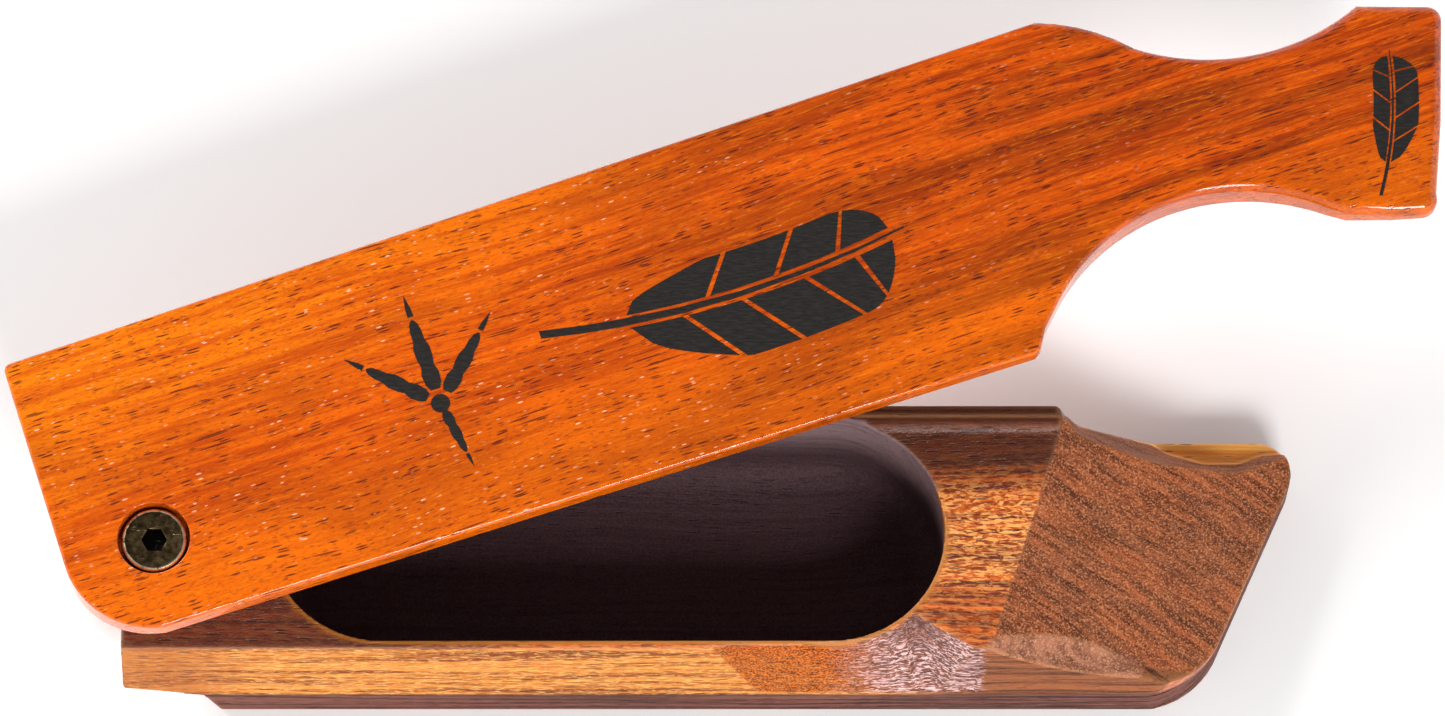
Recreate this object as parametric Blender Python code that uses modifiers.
"""Box turkey call: a one-piece milled box with a swinging paddle lid on a sprung pivot screw.

Metres, +Z up. The origin is the middle of the box's flat bottom, +X runs towards the paddle's
handle and +Y away from the side that the player holds. The paddle stands swung open.
"""

from math import atan2, cos, hypot, pi, radians, sin

import bmesh
import bpy
from mathutils import Matrix, Vector

MM = 0.001
OBJECT_NAME = "box_turkey_call"
FIT = 0.3  # clearance between pieces that touch, mm

# Box, mm
BOX_LEFT = -103.2
BOX_RIGHT = 104.0
HALF_BASE = 23.2
RIDGE_Z = 11.0
HALF_RIDGE = 23.4
DECK_Z = 32.0
NEAR_DECK_Y = -20.8
LIP_Z = 36.5
LIP_INNER_Y = 19.9
LIP_OUTER_Y = 22.0
LIP_ROOT_Y = 18.6
END_SKEW = radians(20.0)

# Sound chamber, mm
CHAMBER_LEFT_X = -57.0
CHAMBER_RIGHT_X = 21.2
CHAMBER_Y = 0.5
CHAMBER_R = 19.9
CHAMBER_FLOOR_Z = 4.5
CHAMBER_FILLET = 4.0
NEAR_RIM = 0.9  # what the scoop leaves of the near wall

# Sloping cut at the handle end, mm
SLOPE_TOP_X = 55.4
SLOPE_FOOT_X = 97.0
SLOPE_FOOT_Z = 10.5
SLOPE_SKEW = radians(17.6)

# Pivot, mm
PIVOT_X = -95.9
PIVOT_Y = -5.0
SCREW_HEAD_R = 5.65
SCREW_HEAD_H = 2.4
SCREW_SHANK_R = 2.5
SCREW_TIP_Z = 15.8
SOCKET_CORNER_R = 2.27
SOCKET_DEPTH = 2.0
POCKET_R = 5.1
POCKET_FLOOR_Z = 26.0
INSERT_R = 3.9
INSERT_LENGTH = 10.0
SPRING_WIRE_R = 0.5
SPRING_MEAN_R = 3.9
SPRING_TURNS = 5
WASHER_R = 5.4
WASHER_T = 0.9

# Paddle, mm. u runs from the pivot to the handle, v across, from the paddle's middle line
PADDLE_TURN = radians(19.0)
PADDLE_MID_V = 11.0
PADDLE_LEFT_U = -15.4
HALF_WIDTH_LEFT = 27.5
HALF_WIDTH_RIGHT = 29.0
PADDLE_TOP_Z = 46.0
PADDLE_CROWN_Z = 37.2
CROWN_R = 89.0
COUNTERBORE_R = 6.3
COUNTERBORE_Z = 42.1
SHANK_HOLE_R = 3.3
SPOTFACE_Z = 38.5

# Turns an outline drawn in x and z, and thickened along z, so that it stands along y
STAND_UP = Matrix(((1, 0, 0, 0), (0, 0, -1, 0), (0, 1, 0, 0), (0, 0, 0, 1)))


def clear_scene():
    for obj in list(bpy.data.objects):
        bpy.data.objects.remove(obj, do_unlink=True)


def make_collection(name):
    collection = bpy.data.collections.new(name)
    bpy.context.scene.collection.children.link(collection)
    return collection


def make_material(name, colour, roughness, metallic):
    material = bpy.data.materials.new(name)
    material.use_nodes = True
    shader = material.node_tree.nodes["Principled BSDF"]
    shader.inputs["Base Color"].default_value = (*colour, 1.0)
    shader.inputs["Roughness"].default_value = roughness
    shader.inputs["Metallic"].default_value = metallic
    return material


def add_object(name, mesh, collection, material=None):
    obj = bpy.data.objects.new(name, mesh)
    collection.objects.link(obj)
    if material:
        mesh.materials.append(material)
    return obj


def mesh_from_bmesh(name, bm):
    bmesh.ops.recalc_face_normals(bm, faces=bm.faces)
    mesh = bpy.data.meshes.new(name)
    bm.to_mesh(mesh)
    bm.free()
    return mesh


def arc(centre, radius, start, end, steps):
    """Points on an arc; angles in radians, both ends included."""
    turns = [start + (end - start) * i / steps for i in range(steps + 1)]
    return [(centre[0] + radius * cos(t), centre[1] + radius * sin(t)) for t in turns]


def arc_between(centre, first, last, steps, clockwise):
    """Arc about centre from the direction of first to the direction of last."""
    start = atan2(first[1] - centre[1], first[0] - centre[0])
    end = atan2(last[1] - centre[1], last[0] - centre[0])
    if clockwise and end > start:
        end -= 2 * pi
    if not clockwise and end < start:
        end += 2 * pi
    radius = hypot(first[0] - centre[0], first[1] - centre[1])
    return arc(centre, radius, start, end, steps)


def corner_arc(first, middle, last, steps=5):
    """Clockwise arc from first to last through middle."""
    (ax, ay), (bx, by), (cx, cy) = first, middle, last
    double = 2 * (ax * (by - cy) + bx * (cy - ay) + cx * (ay - by))
    a, b, c = ax * ax + ay * ay, bx * bx + by * by, cx * cx + cy * cy
    centre = (
        (a * (by - cy) + b * (cy - ay) + c * (ay - by)) / double,
        (a * (cx - bx) + b * (ax - cx) + c * (bx - ax)) / double,
    )
    return arc_between(centre, first, last, steps, True)


def loft(name, levels, collection, material=None):
    """Closed solid through (z, outline) levels in mm, with as many points in each outline."""
    bm = bmesh.new()
    rings = [[bm.verts.new((x * MM, y * MM, z * MM)) for x, y in outline] for z, outline in levels]
    bm.faces.new(rings[0])
    bm.faces.new(rings[-1])
    count = len(rings[0])
    for low, high in zip(rings, rings[1:]):
        for i in range(count):
            j = (i + 1) % count
            bm.faces.new((low[i], low[j], high[j], high[i]))
    return add_object(name, mesh_from_bmesh(name, bm), collection, material)


def prism(name, outline, z_low, z_high, collection, material=None):
    return loft(name, [(z_low, outline), (z_high, outline)], collection, material)


def cylinder(name, radius, z_low, z_high, collection, segments=48, location=(0.0, 0.0)):
    bm = bmesh.new()
    bmesh.ops.create_cone(
        bm, cap_ends=True, segments=segments, radius1=radius * MM, radius2=radius * MM,
        depth=(z_high - z_low) * MM,
    )
    middle = Vector((location[0], location[1], (z_low + z_high) / 2)) * MM
    bmesh.ops.translate(bm, verts=bm.verts, vec=middle)
    return add_object(name, mesh_from_bmesh(name, bm), collection)


def cut(target, tool, operation="DIFFERENCE"):
    modifier = target.modifiers.new(tool.name, "BOOLEAN")
    modifier.operation = operation
    modifier.object = tool
    modifier.solver = "EXACT"
    tool.hide_render = True
    tool.display_type = "WIRE"


def smooth(obj, angle=radians(30)):
    """Round pieces shade smooth, with their real edges left sharp."""
    obj.data.shade_smooth()
    obj.data.set_sharp_from_angle(angle=angle)


# ---------------------------------------------------------------- box body

def plan_outline():
    """The box seen from above, with its slanting, rounded handle end."""
    back = BOX_LEFT - 2.0
    outside = HALF_RIDGE + 6.0
    far_corner = arc((97.3, 17.3), 6.2, pi / 2, -END_SKEW, 6)
    near_corner = arc((75.4, -7.5), 16.0, -END_SKEW, -pi / 2, 10)
    outline = [(back, -outside), (back, outside), (far_corner[0][0], outside)]
    return outline + far_corner + near_corner + [(near_corner[-1][0], -outside)]


def blank_profile():
    """Cross-section of the blank: flared sides, flat deck and the raised far lip."""
    return [
        (-HALF_BASE, 0.0), (HALF_BASE, 0.0), (HALF_RIDGE, RIDGE_Z), (LIP_OUTER_Y, LIP_Z),
        (LIP_INNER_Y, LIP_Z), (LIP_INNER_Y - 0.3, DECK_Z + 1.2), (LIP_ROOT_Y, DECK_Z),
        (NEAR_DECK_Y, DECK_Z), (-HALF_RIDGE, RIDGE_Z),
    ]


def make_blank(collection, material):
    body = prism("box_body", blank_profile(), BOX_LEFT - 1.0, BOX_RIGHT + 1.0, collection, material)
    lay_along_x = Matrix(((0, 0, 1, 0), (1, 0, 0, 0), (0, 1, 0, 0), (0, 0, 0, 1)))
    body.data.transform(lay_along_x)
    return body


def chamber_tool(cutters):
    left = arc((CHAMBER_LEFT_X, CHAMBER_Y), CHAMBER_R, pi / 2, 3 * pi / 2, 32)
    right = arc((CHAMBER_RIGHT_X, CHAMBER_Y), CHAMBER_R, -pi / 2, pi / 2, 32)
    tool = prism("chamber_cut", left + right, CHAMBER_FLOOR_Z, LIP_Z + 6.0, cutters)
    bm = bmesh.new()
    bm.from_mesh(tool.data)
    floor = CHAMBER_FLOOR_Z * MM
    rim = [e for e in bm.edges if all(abs(v.co.z - floor) < 1e-6 for v in e.verts)]
    bmesh.ops.bevel(bm, geom=rim, offset=CHAMBER_FILLET * MM, segments=3, profile=0.5, affect="EDGES")
    bm.to_mesh(tool.data)
    bm.free()
    return tool


def slope_tool(cutters):
    """Wedge above the flat, skewed slope that falls to the handle end."""
    run = SLOPE_FOOT_X - SLOPE_TOP_X
    drop = (DECK_Z - SLOPE_FOOT_Z) / run
    back = 40.0
    far_x = 60.0
    profile = [
        (0.0, DECK_Z), (far_x, DECK_Z - far_x * drop), (far_x, DECK_Z + 30.0), (0.0, DECK_Z + 30.0),
    ]
    tool = prism("slope_cut", profile, -back, back, cutters)
    place = Matrix.Translation(Vector((SLOPE_TOP_X, 0, 0)) * MM)
    tool.data.transform(place @ Matrix.Rotation(-SLOPE_SKEW, 4, "Z") @ STAND_UP)
    return tool


def far_cove_tool(cutters):
    """Rounded trough along the far side that leaves a narrow ledge."""
    levels = [
        (9.8, [(78.5, 23.4), (82.0, 21.2), (88.0, 19.5), (94.0, 19.5), (98.0, 21.0), (108.0, 22.0)]),
        (15.0, [(72.5, 22.8), (77.0, 19.8), (85.0, 17.2), (93.0, 16.2), (100.0, 17.6), (108.0, 19.0)]),
        (22.0, [(65.5, 22.2), (70.0, 18.8), (79.0, 15.8), (92.0, 14.5), (100.0, 15.5), (108.0, 16.5)]),
        (30.0, [(62.6, 21.4), (65.2, 18.4), (76.0, 14.6), (92.0, 13.4), (100.0, 14.0), (108.0, 15.0)]),
        (37.0, [(60.9, 21.0), (63.4, 17.2), (76.0, 13.8), (92.0, 12.8), (100.0, 13.4), (108.0, 14.4)]),
    ]
    outside = HALF_RIDGE + 8.0
    closed = [
        (z, inner + [(inner[-1][0], outside), (inner[0][0], outside)]) for z, inner in levels
    ]
    return loft("far_cove_cut", closed, cutters)


def near_scoop_tool(cutters):
    """Wide scoop in the near wall; it thins the wall and takes the deck's corner away."""
    wall_y = CHAMBER_Y - CHAMBER_R - NEAR_RIM
    outside = -30.0
    rim = arc((CHAMBER_RIGHT_X, CHAMBER_Y), CHAMBER_R + NEAR_RIM, radians(-72), radians(-46), 3)
    high = [(-1.0, outside), (-1.0, NEAR_DECK_Y), (4.0, wall_y), (14.0, wall_y)] + rim
    high += [(47.6, -21.6), (47.6, outside)]
    low = [(8.5, outside), (8.5, -23.4), (14.0, -23.6), (20.0, -23.6), (27.0, -23.5), (32.0, -23.3)]
    low += [(36.0, -23.2), (40.0, -23.0), (46.8, -22.6), (46.8, outside)]
    return loft("near_scoop_cut", [(RIDGE_Z + 1.0, low), (DECK_Z + 0.1, high)], cutters)


def near_cove_tool(cutters):
    """Long shallow bite along the edge between the slope and the near side."""
    bm = bmesh.new()
    bmesh.ops.create_uvsphere(bm, u_segments=64, v_segments=32, radius=1.0)
    stretch = Matrix.Diagonal((19.5, 6.6, 6.6, 1.0))
    tilt = Matrix.Rotation(radians(27), 4, "Y")
    place = Matrix.Translation((62.5, -23.1, 29.6))
    bmesh.ops.transform(bm, matrix=Matrix.Scale(MM, 4) @ place @ tilt @ stretch, verts=bm.verts)
    return add_object("near_cove_cut", mesh_from_bmesh("near_cove_cut", bm), cutters)


def heel_tool(cutters):
    """Pivot end: a face that leans in a little, above an undercut at the bottom."""
    profile = [
        (-110.0, -2.0), (-86.4, -2.0), (-89.4, 10.4), (BOX_LEFT, 13.8),
        (BOX_LEFT + 1.3, LIP_Z + 3.0), (-110.0, LIP_Z + 3.0),
    ]
    tool = prism("heel_cut", profile, -40.0, 40.0, cutters)
    tool.data.transform(STAND_UP)
    return tool


def build_box(parts, cutters, material):
    body = make_blank(parts, material)
    plan = prism("plan_cut", plan_outline(), -2.0, LIP_Z + 4.0, cutters)
    cut(body, plan, "INTERSECT")
    tools = [
        chamber_tool(cutters), slope_tool(cutters), far_cove_tool(cutters),
        near_scoop_tool(cutters), near_cove_tool(cutters), heel_tool(cutters),
        cylinder("pocket_cut", POCKET_R, POCKET_FLOOR_Z, DECK_Z + 3.0, cutters, 40, (PIVOT_X, PIVOT_Y)),
        cylinder(
            "insert_cut", INSERT_R + FIT, POCKET_FLOOR_Z - INSERT_LENGTH - 1.0, POCKET_FLOOR_Z + 1.0,
            cutters, 40, (PIVOT_X, PIVOT_Y),
        ),
    ]
    for tool in tools:
        cut(body, tool)
    return body


# ---------------------------------------------------------------- paddle lid

def paddle_outline():
    """The paddle from above in its own u, v: blade, neck between two scallops, knob."""
    pivot_arc = arc_between((0.0, -PADDLE_MID_V), (-16.0, -10.0), (-3.2, -HALF_WIDTH_LEFT), 16, False)
    far_shoulder = arc_between((164.5, -4.0), (176.1, HALF_WIDTH_RIGHT), (190.9, 18.9), 5, True)
    far_scallop = arc_between((215.4, 51.5), (190.9, 18.9), (230.9, 13.7), 24, False)
    near_scallop = arc_between((188.3, -47.1), (213.0, -20.0), (161.2, -21.9), 28, False)
    blade_end = [(158.6, -25.0), (156.5, -28.3), (155.3, -29.1)]
    knob = corner_arc((242.8, 9.6), (244.0, 8.6), (244.2, 6.1))
    knob += [(237.4, -11.6)] + corner_arc((232.0, -23.7), (230.6, -26.2), (228.5, -26.6))
    knob += [(223.5, -25.1), (215.8, -22.2)]
    corner = arc((PADDLE_LEFT_U + 1.4, HALF_WIDTH_LEFT - 1.4), 1.4, pi / 2, pi, 5)
    outline = corner + pivot_arc + blade_end[::-1] + near_scallop[::-1]
    outline += knob[::-1] + far_scallop[::-1] + far_shoulder[::-1]
    return [(u, v + PADDLE_MID_V) for u, v in outline]


def crown_tool(cutters):
    """Long roller whose lower side gives the paddle its crowned underside."""
    bm = bmesh.new()
    bmesh.ops.create_cone(
        bm, cap_ends=True, segments=240, radius1=CROWN_R * MM, radius2=CROWN_R * MM, depth=300 * MM
    )
    lie = Matrix.Rotation(pi / 2, 4, "Y")
    place = Matrix.Translation(Vector((115.0, PADDLE_MID_V, PADDLE_CROWN_Z + CROWN_R)) * MM)
    bmesh.ops.transform(bm, matrix=place @ lie, verts=bm.verts)
    return add_object("crown_cut", mesh_from_bmesh("crown_cut", bm), cutters)


def build_paddle(parts, cutters, material, holder):
    lid = prism("paddle_lid", paddle_outline(), PADDLE_CROWN_Z - 1.0, PADDLE_TOP_Z, parts, material)
    crown = crown_tool(cutters)
    tools = [
        cylinder("counterbore_cut", COUNTERBORE_R, COUNTERBORE_Z, PADDLE_TOP_Z + 2.0, cutters),
        cylinder("shank_hole_cut", SHANK_HOLE_R, PADDLE_CROWN_Z - 3.0, PADDLE_TOP_Z, cutters, 32),
        cylinder("spotface_cut", WASHER_R + 0.6, PADDLE_CROWN_Z - 3.0, SPOTFACE_Z, cutters),
    ]
    cut(lid, crown, "INTERSECT")
    for tool in tools:
        cut(lid, tool)
    for obj in (lid, crown, *tools):
        obj.parent = holder
    return lid


# ---------------------------------------------------------------- pivot hardware

def turned(name, profile, parts, material, holder, steps=40):
    """Turned piece from (radius, z) points that start and end on the axis."""
    mesh = bpy.data.meshes.new(name)
    verts = [(r * MM, 0.0, z * MM) for r, z in profile]
    mesh.from_pydata(verts, [(i, i + 1) for i in range(len(verts) - 1)], [])
    obj = add_object(name, mesh, parts, material)
    screw = obj.modifiers.new("turn", "SCREW")
    screw.steps = steps
    screw.render_steps = steps
    screw.use_merge_vertices = True
    screw.merge_threshold = 0.00001
    screw.use_smooth_shade = True
    obj.parent = holder
    return obj


def ring(name, inner, outer, z_low, z_high, parts, material, holder, segments=40):
    """Flat ring from four joined loops: outside low and high, bore high and low."""
    outline_out = arc((0.0, 0.0), outer, 0.0, 2 * pi * (1 - 1 / segments), segments - 1)
    outline_in = arc((0.0, 0.0), inner, 0.0, 2 * pi * (1 - 1 / segments), segments - 1)
    bm = bmesh.new()
    loops = []
    corners = ((outline_out, z_low), (outline_out, z_high), (outline_in, z_high), (outline_in, z_low))
    for outline, z in corners:
        loops.append([bm.verts.new((x * MM, y * MM, z * MM)) for x, y in outline])
    for k in range(4):
        here, there = loops[k], loops[(k + 1) % 4]
        for i in range(segments):
            j = (i + 1) % segments
            bm.faces.new((here[i], here[j], there[j], there[i]))
    obj = add_object(name, mesh_from_bmesh(name, bm), parts, material)
    smooth(obj)
    obj.parent = holder
    return obj


def build_screw(parts, cutters, material, holder):
    head_low = COUNTERBORE_Z + FIT
    head_top = head_low + SCREW_HEAD_H
    profile = [
        (0.0, head_top), (SCREW_HEAD_R - 0.35, head_top), (SCREW_HEAD_R, head_top - 0.35),
        (SCREW_HEAD_R, head_low), (SCREW_SHANK_R, head_low), (SCREW_SHANK_R, SCREW_TIP_Z + 0.6),
        (SCREW_SHANK_R - 0.6, SCREW_TIP_Z), (0.0, SCREW_TIP_Z),
    ]
    screw = turned("pivot_screw", profile, parts, material, holder)
    socket = cylinder("socket_cut", SOCKET_CORNER_R, head_top - SOCKET_DEPTH, head_top + 2.0, cutters, 6)
    socket.data.transform(Matrix.Rotation(pi / 6, 4, "Z"))
    cut(screw, socket)
    socket.parent = holder
    return screw


def build_spring(parts, material, holder):
    """Compression spring that stands in the pocket and lifts the paddle to the screw head."""
    low = POCKET_FLOOR_Z + FIT + SPRING_WIRE_R
    high = SPOTFACE_Z - FIT - WASHER_T - FIT - SPRING_WIRE_R
    sides = 14
    count = SPRING_TURNS * sides
    curve = bpy.data.curves.new("tension_spring", "CURVE")
    curve.dimensions = "3D"
    curve.bevel_depth = SPRING_WIRE_R * MM
    curve.bevel_resolution = 2
    curve.use_fill_caps = True
    spline = curve.splines.new("POLY")
    spline.points.add(count)
    for i, point in enumerate(spline.points):
        turn = 2 * pi * i / sides
        z = low + (high - low) * i / count
        point.co = (SPRING_MEAN_R * cos(turn) * MM, SPRING_MEAN_R * sin(turn) * MM, z * MM, 1.0)
    spline.use_smooth = True
    spring = bpy.data.objects.new("tension_spring", curve)
    parts.objects.link(spring)
    curve.materials.append(material)
    spring.parent = holder
    return spring


def main():
    clear_scene()
    parts = make_collection(OBJECT_NAME)
    cutters = make_collection("cutters")
    box_wood = make_material("box_wood", (0.30, 0.10, 0.03), 0.35, 0.0)
    paddle_wood = make_material("paddle_wood", (0.70, 0.20, 0.03), 0.25, 0.0)
    dark_steel = make_material("dark_bronze_steel", (0.06, 0.05, 0.035), 0.35, 1.0)
    bright_steel = make_material("spring_steel", (0.55, 0.55, 0.55), 0.3, 1.0)
    brass = make_material("insert_brass", (0.72, 0.50, 0.20), 0.3, 1.0)

    pivot = bpy.data.objects.new("pivot_axis", None)
    pivot.location = Vector((PIVOT_X, PIVOT_Y, 0.0)) * MM
    parts.objects.link(pivot)
    paddle_axis = bpy.data.objects.new("paddle_axis", None)
    paddle_axis.parent = pivot
    paddle_axis.rotation_euler.z = PADDLE_TURN
    parts.objects.link(paddle_axis)

    build_box(parts, cutters, box_wood)
    build_paddle(parts, cutters, paddle_wood, paddle_axis)
    build_screw(parts, cutters, dark_steel, pivot)
    build_spring(parts, bright_steel, paddle_axis)
    washer_top = SPOTFACE_Z - FIT
    ring(
        "spring_washer", SHANK_HOLE_R, WASHER_R, washer_top - WASHER_T, washer_top,
        parts, bright_steel, paddle_axis,
    )
    insert_top = POCKET_FLOOR_Z - FIT
    ring(
        "threaded_insert", SCREW_SHANK_R + FIT, INSERT_R, insert_top - INSERT_LENGTH + FIT, insert_top,
        parts, brass, pivot,
    )


main()
